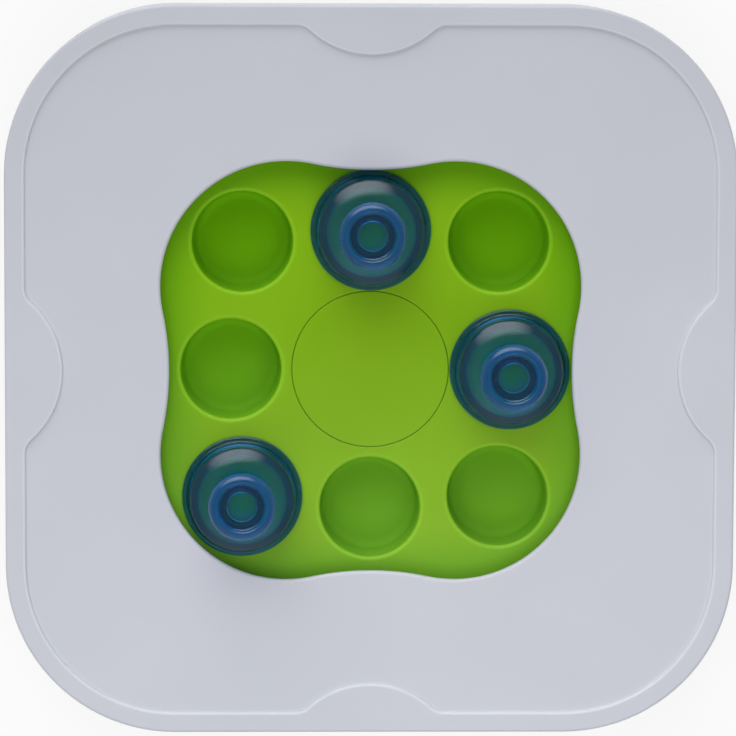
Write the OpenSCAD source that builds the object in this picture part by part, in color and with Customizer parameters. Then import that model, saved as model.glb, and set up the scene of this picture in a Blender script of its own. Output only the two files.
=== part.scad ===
// Small pet puzzle toy: a square treat board with a sunken tray of round wells,
// a flush lid over the middle compartment and three see-through cones that lift off.
// Millimetres. +Z is up, z = 0 is the table and the origin is under the middle of the board.
// +Y is the rear and -Y the front.

/* [Board] */
// Outer width of the square board
board_w = 250; // [236:1:280]
// Plan radius of the board's corners
corner_r = 58; // [50:1:64]
// Wall of the shell
shell_wall = 2.2; // [1.8:0.1:3]
// Rounding of the shell's top outer edge
edge_round = 1; // [0.5:0.5:4]
// Width of the raised rim along the sides
rim_w = 7; // [5:0.2:9]
// Height of the rim above the panel
rim_step = 1.2; // [0.6:0.1:2]

/* [Rim scallops] */
// How far the left and right scallops reach in from the rim's inner edge
scallop_side = 12.8; // [8:0.2:15]
// How far the front and rear scallops reach in from the rim's inner edge
scallop_end = 10; // [6:0.2:13]
// Radius of a scallop's arc
scallop_r = 31.5; // [22:0.5:38]
// Radius that blends a scallop into the rim
scallop_blend = 6.5; // [2:0.5:8]

/* [Tray opening] */
// Half-width of the opening across its corner lobes
open_reach = 71.9; // [70:0.1:78]
// Radius of the corner lobes
lobe_r = 43; // [40:0.5:48]
// How far the middle of each side is drawn in from the lobes
waist = 3; // [1.5:0.5:4]
// Depth of the tray floor below the panel
lip_drop = 8; // [6:0.5:12]
// How far the panel's edge overhangs the wall that stands on the tray
lip_back = 4; // [2:0.5:6]
// Thickness of the wall that stands on the tray round the opening
lip_wall = 2; // [1.5:0.1:3]

/* [Tray] */
// Radius of a well just below its mouth
well_r = 17.2; // [16:0.2:18]
// Depth of the wells
well_depth = 15; // [12:0.5:20]
// How much smaller a well's radius is at its floor
well_draft = 0.9; // [0.2:0.1:2]
// Rounding of the well mouths
mouth_round = 1.4; // [0.8:0.1:1.8]
// Rounding between a well's wall and its floor
floor_round = 1.5; // [0.5:0.1:3]
// Wall of the tray
tray_wall = 1.8; // [1.4:0.1:1.9]
// Width of the tray's flange beyond the posts of its screws
tray_edge = 1; // [0.5:0.1:3]

/* [Centre lid] */
// Thickness of the lid's disc
lid_t = 2.4; // [1.6:0.1:3.2]
// Width of the ledge that the lid rests on
lid_ledge = 2.6; // [1.8:0.1:4]
// Depth of the centring ring under the lid
lid_ring_h = 3; // [1:0.5:6]
// Wall of the centring ring
lid_ring_wall = 1.6; // [1:0.1:2.4]

/* [Cones] */
// Height of a cone above the tray floor
cone_h = 31.5; // [28:0.5:36]
// Wall of a cone
cone_wall = 1.8; // [1.4:0.1:2.2]
// Width of the tray floor, round a well mouth, that the flange covers
seat_w = 2.1; // [1.5:0.1:2.4]
// Thickness of the flange
flange_t = 2; // [1.4:0.1:3]
// Width of the flange outside the cone's body
flange_w = 1.8; // [1.4:0.1:2.6]
// How much the body leans in between the flange and the shoulder
body_lean = 0.9; // [0.4:0.1:2]
// Height at which the body turns into the rounded shoulder
shoulder_h = 9.6; // [8:0.2:11]
// Radius of the rounded shoulder
shoulder_round = 1.6; // [1:0.1:2.4]
// Slope of the dome where it meets the shoulder, in degrees
dome_bend = 36; // [28:1:42]
// Radius of the neck under the knob
neck_r = 8; // [7:0.1:8.6]
// Wall of the neck
neck_wall = 2.7; // [1.6:0.1:3]
// Outer radius of the knob
knob_r = 11.4; // [10.8:0.1:12.5]
// Height of the knob's rounded rim
knob_h = 5; // [4:0.2:5.4]
// Depth of the dish in the knob's top
dish_depth = 1.6; // [1:0.1:2.4]
// Depth of the locating ring that stands in the well mouth
spigot_h = 3; // [1.5:0.5:5]
// Wall of the locating ring
spigot_wall = 1.5; // [1.2:0.1:2]

/* [Underside] */
// Height of the shell's lower edge above the table
foot_drop = 2; // [1:0.5:4]
// How far the bottom cover sits inside the shell's lower edge
cover_inset = 0.6; // [0.2:0.1:2]
// Thickness of the bottom cover
cover_t = 2; // [1.6:0.1:2.6]
// Space between the cover and the wells
well_space = 1.4; // [0.6:0.2:4]
// Radius of a rubber foot
foot_r = 9; // [6:0.5:12]
// Depth of the recess that holds a foot
foot_sink = 0.8; // [0.4:0.1:1.2]
// Distance from a foot to the cover's rounded corner
foot_edge = 17; // [10:1:20]

/* [Screws] */
// Radius of a screw's shank
screw_r = 1.4; // [1.2:0.1:1.8]
// Radius of a screw's head
head_r = 3; // [2.6:0.1:3.4]
// Height of a screw's head
head_h = 1.8; // [1.4:0.1:2.2]
// Radius of the posts that the screws bite into
post_r = 4; // [3.4:0.1:4.6]
// Length of a cover screw inside its post
cover_bite = 9; // [6:0.5:14]
// Thickness of the cover's bosses above the screw heads
boss_t = 1.6; // [1.2:0.1:2.4]
// Distance from the cover's posts to the skirt's inner face
post_inset = 10.8; // [8:0.2:14]
// Distance from the cover's posts back from the corner's start
post_back = 12; // [8:1:16]
// Thickness of the ribs between the posts and the skirt
rib_t = 1.6; // [1.2:0.1:2.4]

/* [Clearances] */
// Gap between a cone's flange and the opening's lip
flange_gap = 0.3; // [0.3:0.1:1.4]
// Gap between the corner cone's flange and its lobe
lobe_gap = 1; // [0.6:0.1:3]
// Gap between the lid and the flanges of the side cones
lid_gap = 0.3; // [0.3:0.1:1.2]
// Gap round the lid in its pocket
pocket_gap = 0.35; // [0.2:0.05:0.6]
// Gap round a ring that locates a lift-off piece
ring_gap = 0.5; // [0.3:0.1:0.8]
// Gap between a lift-off piece and its seat
seat_gap = 0.1; // [0.05:0.05:0.3]
// Gap between a screw's shank and its pilot hole
thread_gap = 0.05; // [0.02:0.01:0.1]
// Gap round a screw in the piece that it holds
shank_gap = 0.3; // [0.2:0.1:0.6]
// Gap round a screw's head, or a foot, in its recess
recess_gap = 0.3; // [0.2:0.1:0.6]
// Gap between the bottom cover and the skirt
cover_gap = 0.3; // [0.2:0.1:0.8]

/* [Hidden] */
$fn = 96;

// Colours
shell_colour = [0.79, 0.80, 0.84];
tray_colour = [0.46, 0.66, 0.13];
cone_colour = [0.13, 0.34, 0.48, 0.75];
cover_colour = [0.72, 0.73, 0.76];
screw_colour = [0.62, 0.63, 0.64];
foot_colour = [0.16, 0.16, 0.17];

// Heights, from the table up
cover_z = foot_drop + cover_inset;
cover_top = cover_z + cover_t;
well_under = cover_top + well_space;
well_floor = well_under + tray_wall;
tray_z = well_floor + well_depth;
tray_under = tray_z - tray_wall;
panel_z = tray_z + lip_drop;
panel_under = panel_z - shell_wall;
rim_z = panel_z + rim_step;
seat_z = tray_z + seat_gap;
head_sink = 0.2;
head_seat = cover_z + head_h + head_sink;
boss_top = head_seat + boss_t;

// Plan sizes
board_half = board_w / 2;
straight = board_half - corner_r;
skirt_in = board_half - shell_wall;
panel_half = board_half - rim_w;
open_half = open_reach - waist;
lobe_at = open_reach - lobe_r;
waist_r = (lobe_at * lobe_at - 2 * lobe_r * waist + waist * waist) / (2 * waist);
flange_r = well_r + mouth_round + seat_w;
side_well = open_half - flange_r - flange_gap;
corner_well = lobe_at + (lobe_r - flange_r - lobe_gap) / sqrt(2);
lid_r = side_well - flange_r - lid_gap;
pocket_r = lid_r + pocket_gap;
cup_r = lid_r - lid_ledge;
ledge_z = tray_z - lid_t - seat_gap;
tray_screw_at = open_half + lip_back + lip_wall / 2 + post_r;
tray_margin = lip_back + lip_wall / 2 + 2 * post_r + tray_edge;
post_out = skirt_in - post_inset;
post_side = straight - post_back;
foot_at = straight + (corner_r - shell_wall - foot_edge - foot_r) / sqrt(2);
foot_top = cover_z + foot_sink;
tray_post_h = panel_under - tray_z;
pilot_spare = 0.8;
tray_bite = tray_post_h - pilot_spare;

// Small edge sizes
over = 1;
arc_steps = 8;
mouth_edge = 0.1;
edge_break = 0.4;
foot_round = 1.2;

// Places of the wells, the cover's posts and the feet
side_wells = [[side_well, 0], [0, side_well], [-side_well, 0], [0, -side_well]];
corner_wells = [for (sx = [-1, 1], sy = [-1, 1]) [sx * corner_well, sy * corner_well]];
cover_posts = [for (turn = [0:90:270], side = [-1, 1]) [turn, side * post_side]];

function arc(c, r, a0, a1, steps = arc_steps) =
  [for (k = [0:steps]) let (a = a0 + (a1 - a0) * k / steps) [c[0] + r * cos(a), c[1] + r * sin(a)]];

function turned(points, a) =
  [for (p = points) [p[0] * cos(a) - p[1] * sin(a), p[0] * sin(a) + p[1] * cos(a)]];

function four_times(points) = [for (k = [0:3]) each turned(points, 90 * k)];

// Four-lobed outline of the opening, grown outward by a distance
function lobed(grow) =
  let (
    waist_c = open_half + waist_r,
    lean = atan2(lobe_at, waist_c - lobe_at),
    drawn_in = arc([waist_c, 0], waist_r - grow, 180 + lean, 180 - lean),
    lobe = arc([lobe_at, lobe_at], lobe_r + grow, -lean, 90 + lean, 3 * arc_steps)
  )
  four_times(concat([for (k = [1:arc_steps - 1]) drawn_in[k]], lobe));

// One side of the sunken panel's outline, with its scallop, and the corner after it
function panel_side(depth) =
  let (
    scallop_c = panel_half - depth + scallop_r,
    blend_c = panel_half - scallop_blend,
    reach = scallop_r + scallop_blend,
    half_w = sqrt(reach * reach - (scallop_c - blend_c) * (scallop_c - blend_c)),
    lean = atan2(half_w, scallop_c - blend_c),
    lower = arc([blend_c, -half_w], scallop_blend, 0, lean),
    scallop = arc([scallop_c, 0], scallop_r, 180 + lean, 180 - lean, 2 * arc_steps),
    upper = arc([blend_c, half_w], scallop_blend, -lean, 0),
    corner = arc([straight, straight], corner_r - rim_w, 0, 90, 2 * arc_steps)
  )
  concat(lower, [for (k = [1:2 * arc_steps - 1]) scallop[k]], upper, corner);

// Outline of the sunken panel: a rounded square with a scallop in each side
function panel_outline() =
  [for (k = [0:3]) each turned(panel_side(k % 2 == 0 ? scallop_side : scallop_end), 90 * k)];

// A slab with a square, round-cornered plan, swept from one edge section.
// The section's x runs outward from the corner's centre.
module rounded_slab(section, z0, z1) {
  for (turn = [0:90:270])
    rotate(turn)
      translate([straight, straight, 0]) {
        rotate_extrude(angle = 90)
          polygon(section);
        rotate([90, 0, 0])
          linear_extrude(2 * straight)
            polygon(section);
      }
  translate([-straight, -straight, z0])
    cube([2 * straight, 2 * straight, z1 - z0]);
}

module plain_slab(reach, z0, z1) {
  rounded_slab([[0, z0], [reach, z0], [reach, z1], [0, z1]], z0, z1);
}

module at_cover_posts() {
  for (post = cover_posts)
    rotate(post[0])
      translate([post_out, post[1], 0])
        children();
}

module at_tray_screws() {
  for (turn = [0:90:270])
    rotate(turn)
      translate([tray_screw_at, 0, 0])
        children();
}

module at_feet() {
  for (sx = [-1, 1], sy = [-1, 1])
    translate([sx * foot_at, sy * foot_at, 0])
      children();
}

module base_shell() {
  outer = concat(
    [[0, foot_drop], [corner_r, foot_drop]],
    arc([corner_r - edge_round, rim_z - edge_round], edge_round, 0, 90),
    [[0, rim_z]]
  );
  color(shell_colour)
    difference() {
      union() {
        difference() {
          rounded_slab(outer, foot_drop, rim_z);
          plain_slab(corner_r - shell_wall, foot_drop - over, panel_under);
          translate([0, 0, panel_z])
            linear_extrude(rim_step + over)
              polygon(panel_outline());
        }
        translate([0, 0, tray_z])
          linear_extrude(panel_z - tray_z - shell_wall / 2)
            polygon(lobed(lip_back + lip_wall));
        at_tray_screws()
          translate([0, 0, tray_z])
            cylinder(r = post_r, h = tray_post_h + shell_wall / 2);
        at_cover_posts() {
          translate([0, 0, boss_top])
            cylinder(r = post_r, h = panel_under - boss_top + shell_wall / 2);
          translate([0, -rib_t / 2, boss_top + post_r])
            cube([post_inset + shell_wall / 2, rib_t, panel_under - boss_top - post_r + shell_wall / 2]);
        }
      }
      translate([0, 0, tray_z - over])
        linear_extrude(panel_under - tray_z + over)
          polygon(lobed(lip_back));
      translate([0, 0, tray_z])
        linear_extrude(panel_z - tray_z + over)
          polygon(lobed(0));
      at_tray_screws()
        translate([0, 0, tray_z - over])
          cylinder(r = screw_r + thread_gap, h = tray_bite + pilot_spare + over);
      at_cover_posts()
        translate([0, 0, boss_top - over])
          cylinder(r = screw_r + thread_gap, h = cover_bite + pilot_spare + over);
    }
}

// Solid outside of one well, up to the middle of the tray's plate
module well_outside() {
  low_r = well_r - well_draft + tray_wall;
  rotate_extrude()
    polygon([
      [0, well_under], [low_r - floor_round, well_under], [low_r, well_under + floor_round],
      [well_r + tray_wall, tray_under], [well_r + tray_wall, tray_z - tray_wall / 2],
      [0, tray_z - tray_wall / 2]
    ]);
}

// Hollow of one well, with a rounded mouth and floor
module well_hollow() {
  low_r = well_r - well_draft;
  mouth_z = tray_z - mouth_round - mouth_edge;
  rotate_extrude()
    polygon(concat(
      [[0, well_floor]],
      arc([low_r - floor_round, well_floor + floor_round], floor_round, -90, 0),
      arc([well_r + mouth_round, mouth_z], mouth_round, 180, 90),
      [[well_r + mouth_round, tray_z + over], [0, tray_z + over]]
    ));
}

module at_wells() {
  for (place = concat(side_wells, corner_wells))
    translate([place[0], place[1], 0])
      children();
}

module well_tray() {
  color(tray_colour)
    difference() {
      union() {
        translate([0, 0, tray_under])
          linear_extrude(tray_wall)
            polygon(lobed(tray_margin));
        at_wells()
          well_outside();
        translate([0, 0, ledge_z - tray_wall])
          cylinder(r = pocket_r + tray_wall, h = tray_z - ledge_z + tray_wall / 2);
        translate([0, 0, well_under])
          cylinder(r = cup_r + tray_wall, h = ledge_z - well_under);
      }
      at_wells()
        well_hollow();
      translate([0, 0, ledge_z])
        cylinder(r = pocket_r, h = tray_z - ledge_z + over);
      translate([0, 0, well_floor])
        cylinder(r = cup_r, h = tray_z - well_floor + over);
      at_tray_screws()
        translate([0, 0, tray_under - over])
          cylinder(r = screw_r + shank_gap, h = tray_wall + 2 * over);
    }
}

module centre_lid() {
  ring_r = cup_r - ring_gap;
  lid_under = tray_z - lid_t;
  color(tray_colour)
    rotate_extrude()
      polygon([
        [0, lid_under], [ring_r - lid_ring_wall, lid_under],
        [ring_r - lid_ring_wall, lid_under - lid_ring_h], [ring_r, lid_under - lid_ring_h],
        [ring_r, lid_under], [lid_r, lid_under],
        [lid_r, tray_z - edge_break], [lid_r - edge_break, tray_z], [0, tray_z]
      ]);
}

// One cone: flange, leaning body, round shoulder, low dome, neck and a knob with a dished top, all
// one hollow moulding
module cone() {
  neck_blend = 1.5;
  dome_flat = 0.5;
  hollow_lean = 0.2;
  flange_round = 0.6;
  dish_round = dish_depth / 2;
  bore_round = 0.8;
  gate_r = 1.9;
  gate_h = 0.4;
  body_r = flange_r - flange_w;
  shoulder_r = body_r - body_lean;
  turn_r = shoulder_r - shoulder_round;
  dome_in = neck_r + neck_blend + dome_flat;
  meet = 90 - dome_bend;
  dome_r = shoulder_round + (turn_r - dome_in) / cos(meet);
  dome_z = shoulder_h - (dome_r - shoulder_round) * sin(meet);
  dome_top = dome_z + dome_r;
  dome_under_r = dome_r - cone_wall;
  dome_under = dome_top - cone_wall;
  knob_half = knob_h / 2;
  knob_in = knob_r - knob_half;
  knob_z = cone_h - knob_half;
  dish_z = cone_h - dish_depth;
  spigot_r = well_r - ring_gap;
  hollow_r = spigot_r - spigot_wall;
  hollow_turn = acos((hollow_r - hollow_lean - dome_in) / dome_under_r);
  bore_r = neck_r - neck_wall;
  bore_top = dish_z - cone_wall;
  dome = arc([dome_in, dome_z], dome_r, meet, 90, 2 * arc_steps);
  outside = concat(
    [[spigot_r, -spigot_h], [spigot_r, 0]],
    arc([flange_r - flange_round, flange_round], flange_round, -90, 0, 4),
    arc([flange_r - flange_round, flange_t - flange_round], flange_round, 0, 90, 4),
    arc([body_r + flange_round, flange_t + flange_round], flange_round, -90, -180, 4),
    arc([turn_r, shoulder_h], shoulder_round, 0, meet),
    [for (k = [1:2 * arc_steps]) dome[k]],
    arc([neck_r + neck_blend, dome_top + neck_blend], neck_blend, -90, -180, 4),
    [[neck_r, cone_h - knob_h]],
    arc([knob_in, knob_z], knob_half, -90, 90, 2 * arc_steps),
    arc([knob_in, cone_h - dish_round], dish_round, 90, 180, 4),
    arc([knob_in - 2 * dish_round, dish_z + dish_round], dish_round, 0, -90, 4)
  );
  hollow = concat(
    [[gate_r, dish_z], [gate_r, dish_z - gate_h], [0, dish_z - gate_h]],
    [[0, bore_top], [bore_r - bore_round, bore_top], [bore_r, bore_top - bore_round]],
    [[bore_r, dome_under + bore_round], [bore_r + bore_round, dome_under]],
    arc([dome_in, dome_z], dome_under_r, 90, hollow_turn),
    [[hollow_r, -spigot_h]]
  );
  color(cone_colour)
    translate([0, 0, seat_z])
      rotate_extrude()
        polygon(concat(outside, hollow));
}

module rear_cone() {
  translate([0, side_well, 0])
    cone();
}

module right_cone() {
  translate([side_well, 0, 0])
    cone();
}

module front_left_cone() {
  translate([-corner_well, -corner_well, 0])
    cone();
}

module bottom_cover() {
  color(cover_colour)
    difference() {
      union() {
        plain_slab(corner_r - shell_wall - cover_gap, cover_z, cover_top);
        at_cover_posts()
          translate([0, 0, cover_z])
            cylinder(r = head_r + recess_gap + boss_t, h = boss_top - cover_z);
      }
      at_cover_posts() {
        translate([0, 0, cover_z - over])
          cylinder(r = head_r + recess_gap, h = head_seat - cover_z + over);
        translate([0, 0, cover_z])
          cylinder(r = screw_r + shank_gap, h = boss_top - cover_z + over);
      }
      at_feet()
        translate([0, 0, cover_z - over])
          cylinder(r = foot_r + recess_gap, h = foot_sink + over);
    }
}

// A pan-head screw standing point up, its head's seat at z = 0
module screw(len) {
  drive_w = head_r / 4;
  drive_l = head_r * 1.2;
  drive_h = head_h * 0.6;
  head_edge = head_h / 3;
  color(screw_colour)
    difference() {
      rotate_extrude()
        polygon([
          [0, -head_h], [head_r - head_edge, -head_h], [head_r, head_edge - head_h], [head_r, 0],
          [screw_r, 0], [screw_r, len - screw_r], [screw_r / 2, len], [0, len]
        ]);
      for (turn = [0, 90])
        rotate(turn)
          translate([-drive_l / 2, -drive_w / 2, -head_h - over])
            cube([drive_l, drive_w, drive_h + over]);
    }
}

module tray_screws() {
  at_tray_screws()
    translate([0, 0, tray_under])
      screw(tray_wall + tray_bite);
}

module cover_screws() {
  at_cover_posts()
    translate([0, 0, head_seat])
      screw(boss_t + cover_bite);
}

module foot(sx, sy) {
  color(foot_colour)
    translate([sx * foot_at, sy * foot_at, 0])
      rotate_extrude()
        polygon(concat(
          [[0, 0]],
          arc([foot_r - foot_round, foot_round], foot_round, -90, 0, 4),
          [[foot_r, foot_top], [0, foot_top]]
        ));
}

base_shell();
well_tray();
centre_lid();
rear_cone();
right_cone();
front_left_cone();
bottom_cover();
tray_screws();
cover_screws();
foot(-1, -1);  // front_left_foot
foot(1, -1);  // front_right_foot
foot(-1, 1);  // rear_left_foot
foot(1, 1);  // rear_right_foot
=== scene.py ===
# %% [markdown]
# # A treat board for small pets
# The object is a square board about 25 cm wide. A pale moulded shell has a four-lobed opening, a
# green tray of round wells shows through it, a green lid lies flush in the tray's middle, and three
# see-through blue cones stand on wells until an animal lifts them off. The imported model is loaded
# first as a fixed frame, so that every piece made below starts from measured boxes.

# %% Load the frame
import math

import bmesh
import bpy
import numpy as np
from mathutils import Matrix, Vector


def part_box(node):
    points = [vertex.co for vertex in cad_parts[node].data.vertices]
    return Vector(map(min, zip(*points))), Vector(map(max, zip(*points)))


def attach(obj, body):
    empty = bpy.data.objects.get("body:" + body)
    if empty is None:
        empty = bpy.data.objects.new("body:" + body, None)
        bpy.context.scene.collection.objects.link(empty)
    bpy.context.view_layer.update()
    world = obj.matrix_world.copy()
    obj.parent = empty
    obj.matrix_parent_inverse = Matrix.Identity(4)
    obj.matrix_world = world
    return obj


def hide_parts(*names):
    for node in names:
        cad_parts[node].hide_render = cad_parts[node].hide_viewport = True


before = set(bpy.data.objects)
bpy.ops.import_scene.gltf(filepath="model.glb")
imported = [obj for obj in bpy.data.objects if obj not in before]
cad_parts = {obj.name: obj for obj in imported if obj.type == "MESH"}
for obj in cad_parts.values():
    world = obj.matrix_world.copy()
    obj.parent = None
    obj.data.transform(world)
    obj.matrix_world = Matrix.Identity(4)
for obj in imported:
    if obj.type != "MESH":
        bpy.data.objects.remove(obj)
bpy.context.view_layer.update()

# %% [markdown]
# ## Sizes
# Blender works in metres, but a moulded toy is easier to think of in millimetres. The large sizes
# are read from the frame's boxes. The small ones, such as wall thicknesses and edge roundings, are
# named here once.

# %% Sizes in millimetres
MM = 0.001


def box_mm(node):
    low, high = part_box(node)
    return low / MM, high / MM


shell_low, shell_high = box_mm("base_shell")
tray_low, tray_high = box_mm("well_tray")
lid_low, lid_high = box_mm("centre_lid")
cone_low, cone_high = box_mm("right_cone")
corner_cone_low, corner_cone_high = box_mm("front_left_cone")

board_half = shell_high.x
skirt_z = shell_low.z
rim_z = shell_high.z
tray_z = tray_high.z
well_under = tray_low.z
lid_r = lid_high.x
flange_r = (cone_high.x - cone_low.x) / 2
side_well = (cone_high.x + cone_low.x) / 2
corner_well = -(corner_cone_high.x + corner_cone_low.x) / 2

corner_r = 58
shell_wall = 2.2
rim_w = 7
rim_step = 1.2
panel_z = rim_z - rim_step
panel_under = panel_z - shell_wall
straight = board_half - corner_r
print(f"board {2 * board_half:.1f} wide, rim at {rim_z:.1f}, tray at {tray_z:.1f}")

# %% [markdown]
# ## Outlines in plan
# Seen from above the shell is three outlines, one inside the other: the board's round-cornered
# square, the step of the rim with a scallop in each side, and the four-lobed opening. Each is made
# of arcs that meet without a kink. A curve object could hold them, but a function with a "grow"
# argument gives exact offsets too, and offsets are what rounded edges need.

# %% Arcs and outlines
scallop_side = 12.8
scallop_end = 10
scallop_r = 31.5
scallop_blend = 6.5
open_reach = 71.9
lobe_r = 43
waist = 3


def arc(centre, radius, start, end, steps=24):
    angles = np.radians(np.linspace(start, end, steps + 1))
    return np.column_stack([centre[0] + radius * np.cos(angles), centre[1] + radius * np.sin(angles)])


def four_sides(side):
    """Joins four sides, each made facing +X and then turned to its place."""
    turned = []
    for quarter in range(4):
        points = side(quarter)
        for _ in range(quarter):
            points = np.column_stack([-points[:, 1], points[:, 0]])
        turned.append(points)
    return np.vstack(turned)


def board_outline(grow):
    return four_sides(lambda quarter: arc((straight, straight), corner_r + grow, 0, 90))


def step_outline(grow):
    panel_half = board_half - rim_w
    blend_at = panel_half - scallop_blend

    def side(quarter):
        depth = scallop_end if quarter % 2 else scallop_side
        scallop_at = panel_half - depth + scallop_r
        apart = scallop_at - blend_at
        half_w = math.sqrt((scallop_r + scallop_blend) ** 2 - apart ** 2)
        lean = math.degrees(math.atan2(half_w, apart))
        return np.vstack([
            arc((blend_at, -half_w), scallop_blend + grow, 0, lean),
            arc((scallop_at, 0), scallop_r - grow, 180 + lean, 180 - lean),
            arc((blend_at, half_w), scallop_blend + grow, -lean, 0),
            arc((straight, straight), corner_r - rim_w + grow, 0, 90),
        ])

    return four_sides(side)


def opening_outline(grow):
    lobe_at = open_reach - lobe_r
    waist_r = (lobe_at ** 2 - 2 * lobe_r * waist + waist ** 2) / (2 * waist)
    waist_at = open_reach - waist + waist_r
    lean = math.degrees(math.atan2(lobe_at, waist_at - lobe_at))
    return four_sides(lambda quarter: np.vstack([
        arc((waist_at, 0), waist_r - grow, 180 + lean, 180 - lean),
        arc((lobe_at, lobe_at), lobe_r + grow, -lean, 90 + lean, 72),
    ]))


print("board outline:", len(board_outline(0)), "points, step:", len(step_outline(0)))

# %% [markdown]
# ## Rings that match
# To bridge one outline to another, both need the same number of points, one behind the other. Every
# outline here can be seen whole from the middle of the board, so each ring is cut where the same
# rays from the middle cross it.

# %% Rings at common bearings
RING_POINTS = 1200
bearings = np.arange(RING_POINTS) * (2 * math.pi / RING_POINTS)
rays = np.column_stack([np.cos(bearings), np.sin(bearings)])


def cross(a, b):
    return a[:, 0] * b[:, 1] - a[:, 1] * b[:, 0]


def ring(outline):
    """Points where the common rays cross an outline."""
    angles = np.arctan2(outline[:, 1], outline[:, 0]) % (2 * math.pi)
    order = np.argsort(angles, kind="stable")
    starts = outline[order]
    edges = np.roll(starts, -1, axis=0) - starts
    hit = (np.searchsorted(angles[order], bearings, side="right") - 1) % len(starts)
    reach = cross(starts[hit], edges[hit]) / cross(rays, edges[hit])
    return rays * reach[:, None]


print("opening is", round(2 * ring(opening_outline(0))[0, 0], 1), "mm across the middle")

# %% [markdown]
# ## Finishes
# All the plastics are injection moulded, so their surfaces carry the very fine texture of the
# mould, and their colour drifts slightly where the melt flowed. Noise on Object coordinates gives
# both: large and faint for the drift, small and shallow for the texture. Marks of use, painted
# light and painted shade are blended in where the mesh carries an attribute for them or where
# Object coordinates place them. A few helpers keep each finish short. Colours are written as they
# look on screen and turned into linear light.

# %% Helpers for the finishes
def screen_colour(red, green, blue):
    channels = [value / 255 for value in (red, green, blue)]
    return [c / 12.92 if c < 0.04045 else ((c + 0.055) / 1.055) ** 2.4 for c in channels] + [1.0]


def start_finish(name):
    material = bpy.data.materials.new(name)
    material.use_nodes = True
    return material, material.node_tree, material.node_tree.nodes["Principled BSDF"]


def noise(tree, size_mm, detail=2.0):
    where = tree.nodes.new("ShaderNodeTexCoord")
    texture = tree.nodes.new("ShaderNodeTexNoise")
    texture.inputs["Scale"].default_value = 1 / (size_mm * MM)
    texture.inputs["Detail"].default_value = detail
    tree.links.new(where.outputs["Object"], texture.inputs["Vector"])
    return texture.outputs["Fac"]


def spread(tree, value, low, high):
    """Maps a noise value, which stays mostly between 0.3 and 0.7, to a range."""
    node = tree.nodes.new("ShaderNodeMapRange")
    node.inputs["From Min"].default_value = 0.3
    node.inputs["From Max"].default_value = 0.7
    node.inputs["To Min"].default_value = low
    node.inputs["To Max"].default_value = high
    tree.links.new(value, node.inputs["Value"])
    return node.outputs["Result"]


def two_tone(tree, factor, first, second):
    node = tree.nodes.new("ShaderNodeMix")
    node.data_type = "RGBA"
    sockets = {s.identifier: s for s in node.inputs}
    for label, colour in (("A_Color", first), ("B_Color", second)):
        if hasattr(colour, "is_output"):
            tree.links.new(colour, sockets[label])
        else:
            sockets[label].default_value = colour
    tree.links.new(factor, sockets["Factor_Float"])
    return next(s for s in node.outputs if s.identifier == "Result_Color")


def mould_texture(tree, shader, height, depth_mm, strength):
    bump = tree.nodes.new("ShaderNodeBump")
    bump.inputs["Strength"].default_value = strength
    bump.inputs["Distance"].default_value = depth_mm * MM
    tree.links.new(height, bump.inputs["Height"])
    tree.links.new(bump.outputs["Normal"], shader.inputs["Normal"])


def marked(tree, attribute):
    node = tree.nodes.new("ShaderNodeAttribute")
    node.attribute_name = attribute
    return node.outputs["Fac"]


def blend_where(tree, attribute, usual, marked_value):
    """Lets a mesh attribute blend a value toward another one."""
    node = tree.nodes.new("ShaderNodeMix")
    node.inputs["B"].default_value = marked_value
    tree.links.new(marked(tree, attribute), node.inputs["Factor"])
    tree.links.new(usual, node.inputs["A"])
    return node.outputs["Result"]


def maths(tree, operation, first, second, kind="ShaderNodeMath", output=0):
    """One sum or product; each source is a socket, a plain value or None."""
    node = tree.nodes.new(kind)
    node.operation = operation
    for socket, source in enumerate((first, second)):
        if hasattr(source, "is_output"):
            tree.links.new(source, node.inputs[socket])
        elif source is not None:
            node.inputs[socket].default_value = source
    return node.outputs[output]


def ramp(tree, value, low, high, first=0, last=1):
    """Goes smoothly from one value to another as the input goes from low to high."""
    node = tree.nodes.new("ShaderNodeMapRange")
    node.interpolation_type = "SMOOTHSTEP"
    node.inputs["From Min"].default_value = low
    node.inputs["From Max"].default_value = high
    node.inputs["To Min"].default_value = first
    node.inputs["To Max"].default_value = last
    tree.links.new(value, node.inputs["Value"])
    return node.outputs["Result"]


# %% [markdown]
# ## The pale plastic
# The shell is a satin plastic, pale with a touch of lavender. Hands polish its rounded edges, and
# the sharper step of the rim is painted a little lighter, a painted highlight along the step. A bevel
# shader could find those edges, but an exported model would lose it, so the mesh marks its own
# edges and the finish reads the mark.

# %% Pale shell plastic
def shell_finish():
    material, tree, shader = start_finish("pale shell plastic")
    drift = spread(tree, noise(tree, 60), 0, 1)
    tint = two_tone(tree, drift, screen_colour(197, 200, 209), screen_colour(201, 203, 213))
    # The step, marked twice as strong, is painted toward near-white: a painted highlight along the step
    # of the rim.
    step_highlight = ramp(tree, marked(tree, "polish_and_highlight"), 1, 2, 0, 0.2)
    highlighted_tint = two_tone(tree, step_highlight, tint, screen_colour(240, 242, 248))
    tree.links.new(highlighted_tint, shader.inputs["Base Color"])
    satin = spread(tree, noise(tree, 9), 0.46, 0.54)
    tree.links.new(blend_where(tree, "polish_and_highlight", satin, 0.36), shader.inputs["Roughness"])
    mould_texture(tree, shader, noise(tree, 0.35), 0.02, 0.25)
    return material


shell_plastic = shell_finish()
print("finish:", shell_plastic.name)


# %% [markdown]
# ## The green plastic
# The tray's leaf green is painted with light and shade. It is paler on the open flat. It is deeper
# toward the opening's edge under the overhang and down in the wells, where shade falls. Painted
# light lifts it round the wells' mouths, in their floor corners and on their rear and side walls.
# Down in the wells the mould's matte face is still new, and a faint pale veil grows toward the
# front. Each mask comes from Object coordinates or from a mark on the mesh, and blends one tint
# over the one before. One painted texture could hold all of it, but masks keep each cause on a
# line of its own.

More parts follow.
